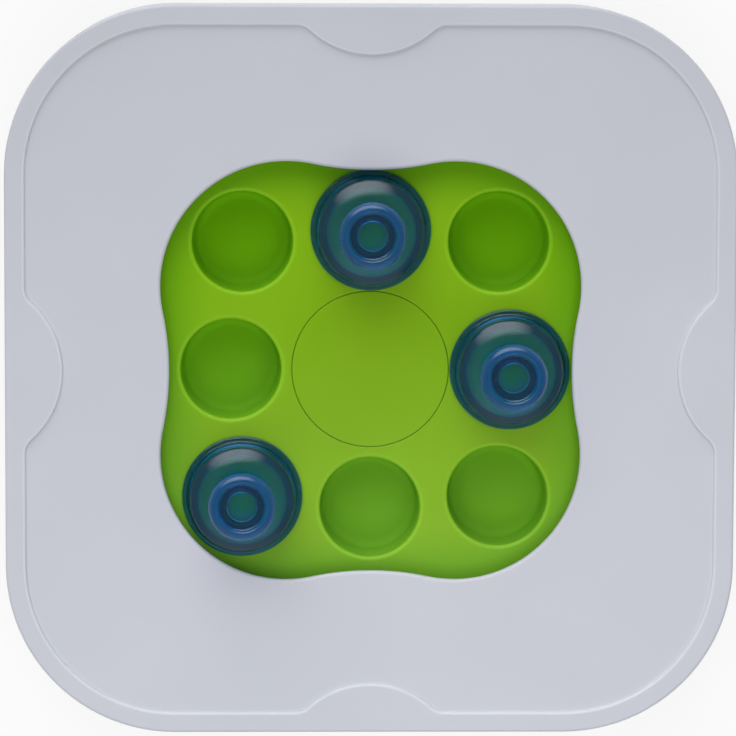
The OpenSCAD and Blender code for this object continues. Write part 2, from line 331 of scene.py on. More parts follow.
# %% Masks for the tray
# How far the painted shade reaches from the opening's edge and down the wells, and the depths over which
# the wells take their tint and matte face.
edge_shade_fade = 20
well_shade_depth = 5
in_well_from = 1
in_well_to = 6


def painted_shade_masks(tree):
    """Painted shade: 1 on the open flat of the tray, less toward the opening's edge and down the wells,
    where shade falls; and 1 down inside the wells.
    """
    where = tree.nodes.new("ShaderNodeTexCoord").outputs["Object"]
    vector = "ShaderNodeVectorMath"
    lobe_at = (open_reach - lobe_r) * MM
    folded = maths(tree, "ABSOLUTE", where, None, vector)
    outward = maths(tree, "SUBTRACT", folded, (lobe_at, lobe_at, 1), vector)
    beyond = maths(tree, "MAXIMUM", outward, (0, 0, 0), vector)
    reach = maths(tree, "LENGTH", beyond, None, vector, 1)
    open_flat = ramp(tree, reach, lobe_r * MM, (lobe_r - edge_shade_fade) * MM)
    height = tree.nodes.new("ShaderNodeSeparateXYZ")
    tree.links.new(where, height.inputs[0])
    upper = ramp(tree, height.outputs["Z"], (tray_z - well_shade_depth) * MM, tray_z * MM)
    inside = ramp(tree, height.outputs["Z"], (tray_z - in_well_from) * MM, (tray_z - in_well_to) * MM)
    return maths(tree, "MULTIPLY", open_flat, upper), inside


veil_from = 45
veil_to = -75


def pale_front_veil(tree):
    """Share of a faint pale veil that grows toward the front of the tray."""
    where = tree.nodes.new("ShaderNodeTexCoord")
    along = tree.nodes.new("ShaderNodeSeparateXYZ")
    tree.links.new(where.outputs["Object"], along.inputs[0])
    front = ramp(tree, along.outputs["Y"], veil_from * MM, veil_to * MM)
    return maths(tree, "MULTIPLY", front, spread(tree, noise(tree, 14, 4), 0.04, 0.055))


# %% Green tray plastic
edge_light_strength = 0.55
wall_light_strength = 0.28
well_matte = 0.35


def tray_finish():
    material, tree, shader = start_finish("green tray plastic")
    drift = spread(tree, noise(tree, 45), 0, 1)
    # Painted shade: paler on the open flat where light falls, deeper toward the opening's edge under the
    # overhang and down in the wells.
    deep = two_tone(tree, drift, screen_colour(100, 162, 0), screen_colour(105, 166, 2))
    pale = two_tone(tree, drift, screen_colour(124, 173, 10), screen_colour(129, 178, 16))
    well_shade_green = two_tone(tree, drift, screen_colour(102, 166, 1), screen_colour(107, 170, 3))
    open_flat, inside = painted_shade_masks(tree)
    flat_tint = two_tone(tree, open_flat, deep, pale)
    with_well_shade = two_tone(tree, inside, flat_tint, well_shade_green)
    # Painted light: mouths and floor corners are lifted toward a bright green, and rear and side walls
    # toward a clearer green.
    edge_share = maths(tree, "MULTIPLY", marked(tree, "painted_edge_light"), edge_light_strength)
    edge_lit = two_tone(tree, edge_share, with_well_shade, screen_colour(150, 212, 40))
    side_share = maths(tree, "MULTIPLY", marked(tree, "painted_wall_light"), wall_light_strength)
    wall_lit = two_tone(tree, side_share, edge_lit, screen_colour(130, 212, 8))
    # A faint pale veil: the green turns paler and greyer toward the front of the tray.
    tint = two_tone(tree, pale_front_veil(tree), wall_lit, screen_colour(196, 200, 180))
    tree.links.new(tint, shader.inputs["Base Color"])
    satin = spread(tree, noise(tree, 7), 0.36, 0.44)
    matte = maths(tree, "MULTIPLY", inside, well_matte)
    tree.links.new(maths(tree, "ADD", satin, matte), shader.inputs["Roughness"])
    shader.inputs["Specular IOR Level"].default_value = 0.16
    mould_texture(tree, shader, noise(tree, 0.4), 0.015, 0.2)
    return material


tray_plastic = tray_finish()
print("finish:", tray_plastic.name)


# %% [markdown]
# ## The clear blue plastic
# Clear plastic looks deeper the more of it light has to cross. A volume that absorbs red gives
# most of that, but a moulding also has cloudy and rough places, and refraction alone would make
# them all look alike. So the cones' mesh carries three marks, depth of colour, haze and frost, and
# the finish reads them: depth picks the tint, haze takes from the clearness, frost from the gloss.

# %% See-through blue cone plastic
def cone_finish():
    material, tree, shader = start_finish("see-through blue plastic")
    drift = spread(tree, noise(tree, 12), 0, 1)
    thin = two_tone(tree, drift, screen_colour(118, 243, 244), screen_colour(124, 247, 248))
    thick = two_tone(tree, drift, screen_colour(26, 141, 224), screen_colour(30, 146, 228))
    tint = two_tone(tree, marked(tree, "colour_depth"), thin, thick)
    tree.links.new(tint, shader.inputs["Base Color"])
    gloss = spread(tree, noise(tree, 3), 0.03, 0.07)
    tree.links.new(blend_where(tree, "frost", gloss, 0.3), shader.inputs["Roughness"])
    shader.inputs["IOR"].default_value = 1.55
    clear = maths(tree, "SUBTRACT", 1, marked(tree, "haze"))
    tree.links.new(clear, shader.inputs["Transmission Weight"])
    absorb = tree.nodes.new("ShaderNodeVolumeAbsorption")
    absorb.inputs["Color"].default_value = screen_colour(0, 237, 250)
    absorb.inputs["Density"].default_value = 600
    output = tree.nodes["Material Output"]
    tree.links.new(absorb.outputs["Volume"], output.inputs["Volume"])
    return material


cone_plastic = cone_finish()
print("finish:", cone_plastic.name)


# %% [markdown]
# ## Steel and rubber
# The screws are zinc plated and the feet are dark rubber. Both show only from below, so two tints
# and an uneven gloss are enough.

# %% Zinc-plated steel and foot rubber
def steel_finish():
    material, tree, shader = start_finish("zinc-plated steel")
    tint = two_tone(tree, spread(tree, noise(tree, 1.5), 0, 1), screen_colour(188, 190, 192),
                    screen_colour(204, 205, 206))
    tree.links.new(tint, shader.inputs["Base Color"])
    tree.links.new(spread(tree, noise(tree, 0.6), 0.28, 0.42), shader.inputs["Roughness"])
    shader.inputs["Metallic"].default_value = 1
    return material


def rubber_finish():
    material, tree, shader = start_finish("foot rubber")
    tint = two_tone(tree, spread(tree, noise(tree, 4), 0, 1), screen_colour(44, 44, 46),
                    screen_colour(56, 56, 58))
    tree.links.new(tint, shader.inputs["Base Color"])
    tree.links.new(spread(tree, noise(tree, 2), 0.72, 0.86), shader.inputs["Roughness"])
    mould_texture(tree, shader, noise(tree, 0.5), 0.04, 0.4)
    return material


screw_steel = steel_finish()
foot_rubber = rubber_finish()
print("finishes:", screw_steel.name, "and", foot_rubber.name)


# %% [markdown]
# ## Handing a piece over
# Each finished piece moves with one body of the frame and, where it stands for a construction
# solid, hides it. One helper says both.

# %% Handing over
def hand_over(piece, body, slot, *nodes):
    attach(piece, body)
    if nodes:
        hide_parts(*nodes)
    print(f"{piece.name}: {len(piece.data.polygons)} faces, rides on {body}")


def face_outward(mesh, sharp_angle=40):
    """Merges doubles, turns faces outward, and smooths all but sharp edges."""
    work = bmesh.new()
    work.from_mesh(mesh)
    bmesh.ops.remove_doubles(work, verts=work.verts, dist=MM / 1000)
    bmesh.ops.recalc_face_normals(work, faces=work.faces)
    work.to_mesh(mesh)
    work.free()
    mesh.shade_smooth()
    mesh.set_sharp_from_angle(angle=math.radians(sharp_angle))


# %% [markdown]
# ## The shell
# The shell is one moulding: a skirt, a softly rounded outer edge, a rim, a small step down to the
# panel, a thin rounded edge that overhangs the tray round the opening, and behind that edge a wall
# that stands on the tray. It could be a solid with bevels, but bevels struggle where arcs meet. Here
# its cross-section is walked once round, each point on an offset of one of the outlines, and the
# rings are bridged into one closed skin. Its rounded edges get the mark that the finish reads as
# polish. The mark is twice as strong on the step, where the finish also paints a highlight.

# %% The shell's cross-section
edge_round = 1
skirt_round = 0.5
step_round = 0.8
step_fillet = 0.4
lip_round = 1.2
lip_under = 0.8
lip_back = 4
lip_wall = 2
lip_rest = 0.02
run_out = 0.5


def flat(outline, grow, z):
    """One ring of the section: an outline, its offset, its height and its mark for polish and painted
    highlight.
    """
    return [(outline, grow, z, 0.0)]


def rounded(outline, grow, z, radius, start, end, steps, edge_mark=1.0):
    return [(outline, *point, edge_mark) for point in arc((grow, z), radius, start, end, steps)]


shell_section = (
    rounded(board_outline, skirt_round - shell_wall, skirt_z + skirt_round, skirt_round, 180, 270, 3)
    + rounded(board_outline, -skirt_round, skirt_z + skirt_round, skirt_round, 270, 360, 3)
    + flat(board_outline, 0, rim_z - edge_round - run_out)
    + rounded(board_outline, -edge_round, rim_z - edge_round, edge_round, 0, 90, 10)
    + flat(board_outline, -edge_round - run_out, rim_z)
    + flat(step_outline, step_round + run_out, rim_z)
    + rounded(step_outline, step_round, rim_z - step_round, step_round, 90, 180, 5, 2.0)
    + rounded(step_outline, -step_fillet, panel_z + step_fillet, step_fillet, 0, -90, 5)
    + flat(step_outline, -step_fillet - run_out, panel_z)
    + flat(opening_outline, lip_round + run_out, panel_z)
    + rounded(opening_outline, lip_round, panel_z - lip_round, lip_round, 90, 180, 7)
    + rounded(opening_outline, lip_under, panel_under + lip_under, lip_under, 180, 270, 5)
    + flat(opening_outline, lip_back - run_out, panel_under)
    + flat(opening_outline, lip_back, panel_under - run_out)
    + flat(opening_outline, lip_back, tray_z + lip_rest)
    + flat(opening_outline, lip_back + lip_wall, tray_z + lip_rest)
    + flat(opening_outline, lip_back + lip_wall, panel_under - run_out)
    + flat(opening_outline, lip_back + lip_wall + run_out, panel_under)
    + flat(board_outline, -shell_wall - run_out, panel_under)
    + flat(board_outline, -shell_wall, panel_under - run_out)
)
print("shell section:", len(shell_section), "rings")


# %% The shell's skin
def bridged_skin(name, section, material):
    """Closed skin through rings, the last one bridged back to the first."""
    points = [np.column_stack([ring(outline(grow)), np.full(RING_POINTS, z)])
              for outline, grow, z, _ in section]
    first = np.arange(RING_POINTS)
    after = np.roll(first, -1)
    faces = []
    for row in range(len(section)):
        below = row * RING_POINTS
        above = (row + 1) % len(section) * RING_POINTS
        faces.append(np.column_stack([below + first, below + after, above + after, above + first]))
    mesh = bpy.data.meshes.new(name)
    mesh.from_pydata((np.vstack(points) * MM).tolist(), [], np.vstack(faces).tolist())
    edge_marks = mesh.attributes.new("polish_and_highlight", "FLOAT", "POINT")
    edge_marks.data.foreach_set("value", np.repeat([edge_mark for *_, edge_mark in section], RING_POINTS))
    mesh.materials.append(material)
    piece = bpy.data.objects.new(name, mesh)
    bpy.context.scene.collection.objects.link(piece)
    face_outward(mesh)
    return piece


shell = bridged_skin("shell_skin", shell_section, shell_plastic)
hand_over(shell, "board", "shell_plastic", "base_shell")


# %% [markdown]
# ## Two node trees for the rest
# A cone, a lid, a foot and a screw are all turned shapes, so one Geometry Nodes tree makes them: a
# grid is wrapped round the axis, each of its columns a copy of a drawn profile. The Screw modifier
# does much the same, but the tree keeps the sizes as named inputs. A second tree sets copies of a
# template on marked points, for the posts and the screws.

# %% Helpers for node trees
def add_node(tree, kind, links=(), **settings):
    node = tree.nodes.new(kind)
    for name, value in settings.items():
        setattr(node, name, value)
    for socket, source in links:
        if hasattr(source, "is_output"):
            tree.links.new(source, node.inputs[socket])
        else:
            node.inputs[socket].default_value = source
    return node


def start_tree(name, inputs):
    tree = bpy.data.node_groups.new(name, "GeometryNodeTree")
    for label, kind in inputs:
        tree.interface.new_socket(label, in_out="INPUT", socket_type=kind)
    tree.interface.new_socket("Piece", in_out="OUTPUT", socket_type="NodeSocketGeometry")
    return tree, add_node(tree, "NodeGroupInput").outputs


def end_tree(tree, geometry, material):
    real = add_node(tree, "GeometryNodeRealizeInstances", [("Geometry", geometry)])
    dressed = add_node(tree, "GeometryNodeSetMaterial",
                       [("Geometry", real.outputs[0]), ("Material", material)])
    add_node(tree, "NodeGroupOutput", [("Piece", dressed.outputs[0])])


def grow_piece(name, source, tree, settings):
    """Runs a tree on a source object, keeps the result as a plain mesh and drops the source."""
    modifier = source.modifiers.new(tree.name, "NODES")
    modifier.node_group = tree
    for item in tree.interface.items_tree:
        if item.in_out == "INPUT" and item.name in settings:
            modifier[item.identifier] = settings[item.name]
    graph = bpy.context.evaluated_depsgraph_get()
    mesh = bpy.data.meshes.new_from_object(source.evaluated_get(graph))
    source.modifiers.remove(modifier)
    bpy.data.objects.remove(source)
    mesh.name = name
    piece = bpy.data.objects.new(name, mesh)
    bpy.context.scene.collection.objects.link(piece)
    face_outward(mesh)
    return piece


# %% The turning tree
def turning_tree():
    tree, given = start_tree("turned piece", [
        ("Profile", "NodeSocketGeometry"), ("Segments", "NodeSocketInt"),
        ("Centre", "NodeSocketVector"), ("Material", "NodeSocketMaterial"),
    ])

    def number(operation, first, second):
        return add_node(tree, "ShaderNodeMath", [(0, first), (1, second)], operation=operation).outputs[0]

    count = add_node(tree, "GeometryNodeAttributeDomainSize", [("Geometry", given["Profile"])])
    rows = count.outputs["Point Count"]
    grid = add_node(tree, "GeometryNodeMeshGrid", [
        ("Vertices X", number("ADD", given["Segments"], 1.0)), ("Vertices Y", rows)])
    index = add_node(tree, "GeometryNodeInputIndex").outputs[0]
    column = number("FLOOR", number("DIVIDE", index, rows), 0.0)
    step = number("DIVIDE", 2 * math.pi, given["Segments"])
    drawn = add_node(tree, "GeometryNodeSampleIndex", data_type="FLOAT_VECTOR")
    place = add_node(tree, "GeometryNodeInputPosition").outputs[0]
    tree.links.new(given["Profile"], drawn.inputs["Geometry"])
    tree.links.new(place, drawn.inputs["Value"])
    tree.links.new(number("MODULO", index, rows), drawn.inputs["Index"])
    turned = add_node(tree, "ShaderNodeVectorRotate", [
        ("Vector", drawn.outputs[0]), ("Angle", number("MULTIPLY", column, step))],
        rotation_type="Z_AXIS")
    moved = add_node(tree, "ShaderNodeVectorMath", [(0, turned.outputs[0]), (1, given["Centre"])])
    wrapped = add_node(tree, "GeometryNodeSetPosition", [
        ("Geometry", grid.outputs["Mesh"]), ("Position", moved.outputs[0])])
    closed = add_node(tree, "GeometryNodeMergeByDistance", [
        ("Geometry", wrapped.outputs[0]), ("Distance", MM / 1000)])
    end_tree(tree, closed.outputs[0], given["Material"])
    return tree


turning = turning_tree()
print("tree:", turning.name, "with", len(turning.nodes), "nodes")


def turn_piece(name, profile, centre, material, segments=128):
    """Turns a profile of (radius, height) points in millimetres about an upright axis."""
    mesh = bpy.data.meshes.new(name)
    points = [(radius * MM, 0, height * MM) for radius, height in profile]
    mesh.from_pydata(points, [(k, k + 1) for k in range(len(points) - 1)], [])
    source = bpy.data.objects.new(name + ".profile", mesh)
    bpy.context.scene.collection.objects.link(source)
    return grow_piece(name, source, turning, {
        "Segments": segments, "Centre": [value * MM for value in centre], "Material": material})


# %% The copying tree
def copying_tree():
    tree, given = start_tree("copies on points", [
        ("Points", "NodeSocketGeometry"), ("Template", "NodeSocketObject"),
        ("Material", "NodeSocketMaterial"),
    ])
    template = add_node(tree, "GeometryNodeObjectInfo", [("Object", given["Template"])])
    turn = add_node(tree, "GeometryNodeInputNamedAttribute", [("Name", "turn")], data_type="FLOAT")
    upright = add_node(tree, "ShaderNodeCombineXYZ", [("Z", turn.outputs["Attribute"])])
    copies = add_node(tree, "GeometryNodeInstanceOnPoints", [
        ("Points", given["Points"]), ("Instance", template.outputs["Geometry"]),
        ("Rotation", upright.outputs[0])])
    end_tree(tree, copies.outputs[0], given["Material"])
    return tree


copying = copying_tree()
print("tree:", copying.name, "with", len(copying.nodes), "nodes")


def copy_piece(name, template, places, material):
    """Sets copies of a template at (x, y, turn in degrees) places, then drops the template."""
    mesh = bpy.data.meshes.new(name)
    mesh.from_pydata([(x * MM, y * MM, 0) for x, y, _ in places], [], [])
    turns = mesh.attributes.new("turn", "FLOAT", "POINT")
    turns.data.foreach_set("value", [math.radians(turn) for *_, turn in places])
    source = bpy.data.objects.new(name + ".points", mesh)
    bpy.context.scene.collection.objects.link(source)
    piece = grow_piece(name, source, copying, {"Template": template, "Material": material})
    bpy.data.objects.remove(template)
    return piece


# %% [markdown]
# ## The tray
# The tray is a thin plate with eight round wells and a pocket for the lid, drawn down into it like a
# muffin tin. Cutting holes with Boolean modifiers would leave long slivers at the rounded mouths.
# Here each well is built ring by ring, and the flat of the plate is filled between the wells' outer
# rings, so the rounded mouths stay free of slivers. Each ring carries two marks of painted light.
# One is on the mouth and floor corner, and one is on the walls. The mark on the walls fades toward
# the front of a well, since the light reaches the wells mostly from behind and from the sides.

# %% The tray's profiles
tray_wall = 1.8
tray_under = tray_z - tray_wall
tray_margin = 14
well_r = 17.2
well_draft = 0.9
mouth_round = 1.4
floor_round = 3
well_floor = well_under + tray_wall
lid_gap = 0.1
pocket_r = lid_r + lid_gap
pocket_round = 0.4
ledge_w = 2.6
ledge_drop = 2.5
cup_r = lid_r - ledge_w
ledge_z = tray_z - ledge_drop
rim_flat = 0.4

floor_r = well_r - well_draft - floor_round
mouth_r = well_r + mouth_round
mouth_steps = 8
floor_steps = 10
# Painted light along a well's profile. It is strongest on the mouth's rounding and fainter on the flat
# beside it and in the floor corner; a second mark lifts the lower mouth, the wall and the floor corner.
flat_edge = 0.15
upper_edge = 0.35
low_edge = 0.3
mouth_points = np.arange(mouth_steps + 1)
mouth_side = np.interp(mouth_points, (4, 8), (0, 1))
mouth_light = np.interp(mouth_points, (0, 2.5, 4, 8), (upper_edge, 1, 1, low_edge))
corner_light = np.linspace(1, 0, floor_steps + 1)


def with_marks(points, edge, side):
    """Profile points with their painted light as an edge and as a wall."""
    marks = [np.broadcast_to(mark, len(points)) for mark in (edge, side)]
    return np.column_stack([points, *marks])


well_inside = np.vstack([
    with_marks([(mouth_r + rim_flat, tray_z)], flat_edge, 0),
    with_marks(arc((mouth_r, tray_z - mouth_round), mouth_round, 90, 180, mouth_steps),
               mouth_light, mouth_side),
    with_marks(arc((floor_r, well_floor + floor_round), floor_round, 0, -90, floor_steps),
               corner_light * low_edge, corner_light),
    with_marks([(floor_r - floor_round / 2, well_floor), (floor_r / 2, well_floor)], 0, 0),
])
well_outside = [
    (well_r + tray_wall, tray_under), (well_r + tray_wall - well_draft, well_under + floor_round),
    (floor_r + tray_wall, well_under), (floor_r / 2, well_under),
]
cup_inside = np.vstack([
    [(pocket_r + pocket_round + rim_flat, tray_z)],
    arc((pocket_r + pocket_round, tray_z - pocket_round), pocket_round, 90, 180, 4),
    [(pocket_r, ledge_z), (cup_r, ledge_z), (cup_r, well_floor), (cup_r / 2, well_floor)],
])
cup_outside = [
    (pocket_r + tray_wall, tray_under), (pocket_r + tray_wall, ledge_z - tray_wall),
    (cup_r + tray_wall, ledge_z - tray_wall), (cup_r + tray_wall, well_under), (cup_r / 2, well_under),
]
well_places = [(side_well, 0), (0, side_well), (-side_well, 0), (0, -side_well)]
well_places += [(x, y) for x in (-corner_well, corner_well) for y in (-corner_well, corner_well)]
print(len(well_places), "wells,", round(tray_z - well_floor, 1), "mm deep")


# %% The tray's body
tray_marks = ("painted_edge_light", "painted_wall_light")
front_fade = 0.9


def add_loop(work, points, z):
    verts = [work.verts.new((x * MM, y * MM, z * MM)) for x, y in points]
    return verts, [work.edges.new(pair) for pair in zip(verts, verts[1:] + verts[:1])]


def add_bridge(work, lower, upper):
    for a, b, c, d in zip(lower, lower[1:] + lower[:1], upper[1:] + upper[:1], upper):
        work.faces.new((a, b, c, d))


def add_bowl(work, centre, profile, segments):
    """One turned wall, closed at its last ring; returns the edges of its first ring."""
    circle = arc((0, 0), 1, 0, 360 - 360 / segments, segments - 1)
    # Painted light on the walls: full at a well's rear and sides, fading toward its front, as the light
    # comes mostly from behind and the sides.
    away_from_front = 1 - front_fade * np.clip(-circle[:, 1], 0, 1)
    round_shares = {"painted_edge_light": np.ones(segments), "painted_wall_light": away_from_front}
    loops = []
    for radius, z, *marks in profile:
        loops.append(add_loop(work, circle * radius + np.array(centre), z))
        for label, value in zip(tray_marks, marks):
            layer = work.verts.layers.float[label]
            for vert, share in zip(loops[-1][0], round_shares[label]):
                vert[layer] = value * share
    for (upper, _), (lower, _) in zip(loops, loops[1:]):
        add_bridge(work, lower, upper)
    work.faces.new(loops[-1][0])
    return loops[0][1]


def make_tray():
    work = bmesh.new()
    for label in tray_marks:
        work.verts.layers.float.new(label)
    plate = ring(opening_outline(tray_margin))[::4]
    top, top_edges = add_loop(work, plate, tray_z)
    under, under_edges = add_loop(work, plate, tray_under)
    add_bridge(work, under, top)
    for place in well_places:
        top_edges += add_bowl(work, place, well_inside, segments=96)
        under_edges += add_bowl(work, place, well_outside, segments=96)
    top_edges += add_bowl(work, (0, 0), cup_inside, segments=128)
    under_edges += add_bowl(work, (0, 0), cup_outside, segments=128)
    for edges in (top_edges, under_edges):
        bmesh.ops.triangle_fill(work, use_beauty=True, use_dissolve=False, edges=edges)
    mesh = bpy.data.meshes.new("tray_with_wells")
    work.to_mesh(mesh)
    work.free()
    mesh.materials.append(tray_plastic)
    face_outward(mesh)
    piece = bpy.data.objects.new("tray_with_wells", mesh)
    bpy.context.scene.collection.objects.link(piece)
    return piece


tray = make_tray()
hand_over(tray, "board", "tray_plastic", "well_tray")

# %% [markdown]
# ## The lid
# The lid is a flat disc, flush with the tray, over the compartment in its middle. It is a turned
# shape with a softened edge and a centring ring below, so the turning tree makes it.

# %% The lid
lid_edge = 0.4
lid_t = 2.4
lid_ring_play = 0.5
lid_under = tray_z - lid_t
lid_ring_r = cup_r - lid_ring_play
lid_ring_wall = 1.6

lid_profile = np.vstack([
    [(0, tray_z), (lid_r * 0.6, tray_z), (lid_r - lid_edge - rim_flat, tray_z)],
    arc((lid_r - lid_edge, tray_z - lid_edge), lid_edge, 90, 0, 5),
    [(lid_r, lid_under), (lid_ring_r, lid_under), (lid_ring_r, lid_low.z)],
    [(lid_ring_r - lid_ring_wall, lid_low.z), (lid_ring_r - lid_ring_wall, lid_under), (0, lid_under)],
])
lid = turn_piece("centre_disc", lid_profile, (0, 0, 0), tray_plastic, segments=160)
hand_over(lid, "lid", "tray_plastic", "centre_lid")

# %% [markdown]
# ## The cones
# Each cone is one clear blue moulding, hollow below: a flange that rests on the tray, a leaning
# body, a round shoulder, a low dome, a neck and a knob with a rounded rim and a dished top. A ring
# under the flange finds the well. See-through plastic shows its inside too, so the profile runs
# over the outside and back up the hollow, and the turned skin encloses the real thickness of the
# wall. The profile is drawn zone by zone, each with its depth of colour, haze and frost.

# %% The cone's sizes
cone_wall = 1.8
flange_t = 2
flange_w = 1.8
flange_round = 0.6
body_lean = 0.9
shoulder_h = 9.6
shoulder_round = 1.6
dome_bend = 36
dome_flat = 0.5
hollow_lean = 0.2
neck_r = 8
neck_wall = 2.7
neck_blend = 1.5
knob_r = 11.4
knob_h = 5
dish_depth = 1.6
gate_r = 1.9
gate_h = 0.4
gate_edge = 0.2
gate_flat = 0.3
bore_round = 0.8
spigot_wall = 1.5
seat_gap = 0.1
spigot_play = 0.5
seat_z = tray_z + seat_gap
cone_h = cone_high.z - seat_z
spigot_h = seat_z - cone_low.z
body_r = flange_r - flange_w
shoulder_r = body_r - body_lean
spigot_r = well_r - spigot_play
print(f"cone {cone_h:.1f} high, flange {2 * flange_r:.1f} across")


# %% The cone's profile
meet = 90 - dome_bend
meet_x = math.cos(math.radians(meet))
meet_z = math.sin(math.radians(meet))
turn_r = shoulder_r - shoulder_round
dome_in = neck_r + neck_blend + dome_flat
dome_r = shoulder_round + (turn_r - dome_in) / meet_x
dome_at = (dome_in, shoulder_h - (dome_r - shoulder_round) * meet_z)
dome_top = dome_at[1] + dome_r
dish_z = cone_h - dish_depth
dish_round = dish_depth / 2
knob_in = knob_r - knob_h / 2
knob_under = cone_h - knob_h
bore_r = neck_r - neck_wall
bore_top = dish_z - cone_wall
hollow_r = spigot_r - spigot_wall
dome_in_r = dome_r - cone_wall
corner = math.degrees(math.acos((hollow_r - hollow_lean - dome_in) / dome_in_r))
# Each zone has a name, a depth of colour, a haze, a frost and the points of its outline.
cone_zones = [
    ("dish", 0.0, 0.01, 0, [(0, dish_z - gate_h), (gate_r - gate_edge, dish_z - gate_h),
                            (gate_r, dish_z), (gate_r + gate_flat, dish_z),
                            (bore_r - 2 * gate_flat, dish_z)]),
    ("over the neck's wall", 1.0, 0.07, 0, np.vstack([
        [(bore_r, dish_z)],
        arc((knob_in - 2 * dish_round, dish_z + dish_round), dish_round, -90, 0, 6)])),
    ("knob", 0.8, 0.13, 0, np.vstack([
        arc((knob_in, cone_h - dish_round), dish_round, 180, 90, 6),
        arc((knob_in, cone_h - knob_h / 2), knob_h / 2, 90, -90, 24)])),
    ("neck", 1.0, 0.1, 0, np.vstack([
        arc((neck_r + neck_blend / 2, knob_under - neck_blend / 2), neck_blend / 2, 90, 180, 5),
        arc((neck_r + neck_blend, dome_top + neck_blend), neck_blend, 180, 270, 6)])),
    ("dome", 0.22, 0.07, 0, arc(dome_at, dome_r, 90, 70, 12)),
    ("edge of the dome", 0.75, 0.075, 0, arc(dome_at, dome_r, 66, meet, 8)),
    ("body", 0.6, 0.03, 0, np.vstack([
        arc((turn_r, shoulder_h), shoulder_round, meet, 0, 10),
        arc((body_r + flange_round, flange_t + flange_round), flange_round, 180, 270, 5)])),
    ("flange", 0.5, 0.05, 0, np.vstack([
        arc((flange_r - flange_round, flange_t - flange_round), flange_round, 90, 0, 5),
        arc((flange_r - flange_round, flange_round), flange_round, 0, -90, 5)])),
    ("hollow", 0.0, 0.0, 1, np.vstack([
        [(spigot_r, 0), (spigot_r, -spigot_h), (hollow_r, -spigot_h)],
        arc(dome_at, dome_in_r, corner, 90, 16),
        arc((bore_r + bore_round, dome_top - cone_wall + bore_round), bore_round, 270, 180, 4),
        arc((bore_r - bore_round, bore_top - bore_round), bore_round, 0, 90, 5),
        [(0, bore_top)]])),
]
cone_profile = np.vstack([points for *_, points in cone_zones])
print("cone profile:", len(cone_profile), "points, cone", round(cone_h, 1), "mm high")

# %% [markdown]
# ## Marking the zones
# The turning tree knows only the profile, so the marks go on afterwards: each point of a cone takes
# the values of the nearest point of the profile. A zone's border would show as a hard line, so the
# values are first blended along the profile's length.

# %% The three cones
zone_softness = 0.9
cone_seats = {"rear_cone": (0, side_well, seat_z), "right_cone": (side_well, 0, seat_z),
              "front_left_cone": (-corner_well, -corner_well, seat_z)}
zone_sizes = [len(points) for *_, points in cone_zones]
steps = np.linalg.norm(np.diff(cone_profile, axis=0), axis=1)
walked = np.concatenate([[0], np.cumsum(steps)])
zone_blend = np.exp(-((walked[:, None] - walked[None]) / zone_softness) ** 2)


def mark_zones(piece, seat):
    """Gives each point the depth of colour, haze and frost of the nearest point of the profile."""
    mesh = piece.data
    places = np.zeros(3 * len(mesh.vertices))
    mesh.vertices.foreach_get("co", places)
    places = places.reshape(-1, 3) / MM - np.array(seat)
    turned = np.column_stack([np.hypot(places[:, 0], places[:, 1]), places[:, 2]])
    apart = np.linalg.norm(turned[:, None] - cone_profile[None], axis=2)
    nearest = np.argmin(apart, axis=1)
    for column, label in ((1, "colour_depth"), (2, "haze"), (3, "frost")):
        along = np.repeat([zone[column] for zone in cone_zones], zone_sizes)
        soft = zone_blend @ along / zone_blend.sum(axis=1)
        mesh.attributes.new(label, "FLOAT", "POINT").data.foreach_set("value", soft[nearest])


for node, seat in cone_seats.items():
    cone = turn_piece(node + "_clear", cone_profile, seat, cone_plastic)
    mark_zones(cone, seat)
    hand_over(cone, node + "_body", "cone_plastic", node)

# %% [markdown]
# ## Posts under the shell
# Below the panel the shell has hollow posts: eight with a rib to the skirt take the cover's screws,
# and four shorter ones take the tray's. Each kind is one template, turned or boxed once, and the
# copying tree sets it at its places.

# %% Posts
post_r = 4
post_edge = 0.3
pilot_r = 1.45
rib_t = 1.6
rib_in = 1
post_inset = 10.8
post_aside = 12
post_out = board_half - shell_wall - post_inset
post_side = straight - post_aside
tray_post_at = open_reach - waist + lip_back + lip_wall / 2 + post_r
cover_boss_z = box_mm("bottom_cover")[1].z
post_places = [(post_out, side * post_side) for side in (-1, 1)]


def quarter_turns(places):
    """Places on the +X side, repeated on all four sides, each with its turn in degrees."""
    turned = []
    for quarter in range(4):
        spin = Matrix.Rotation(math.radians(90 * quarter), 2)
        turned += [(*(spin @ Vector(place)), 90 * quarter) for place in places]
    return turned


def post_template(name, low, high):
    tube = [(pilot_r, low), (post_r - post_edge, low), (post_r, low + post_edge), (post_r, high),
            (pilot_r, high), (pilot_r, low)]
    return turn_piece(name, tube, (0, 0, 0), shell_plastic, segments=40)


def add_rib(post, length, thickness, low, high):
    work = bmesh.new()
    work.from_mesh(post.data)
    size = Vector((length, thickness, high - low)) * MM
    middle = Vector((pilot_r + rib_in + length / 2, 0, (low + high) / 2)) * MM
    place = Matrix.Translation(middle) @ Matrix.Diagonal((*size, 1))
    bmesh.ops.create_cube(work, size=1, matrix=place)
    work.to_mesh(post.data)
    work.free()


cover_post = post_template("cover_post", cover_boss_z, panel_under)
rib_l = board_half - shell_wall - post_out - pilot_r - rib_in
add_rib(cover_post, rib_l, rib_t, cover_boss_z + post_r, panel_under)
cover_posts = copy_piece("cover_posts", cover_post, quarter_turns(post_places), shell_plastic)
hand_over(cover_posts, "board", "shell_plastic")
tray_post = post_template("tray_post", tray_z, panel_under)
tray_posts = copy_piece("tray_posts", tray_post, quarter_turns([(tray_post_at, 0)]), shell_plastic)
hand_over(tray_posts, "board", "shell_plastic")

# %% [markdown]
# ## Screws
# The screws are small pan heads with a cross recess, seen only from below. A turned blank gets its
# recess from a Boolean with two crossed bars, once, and is then copied to every post.

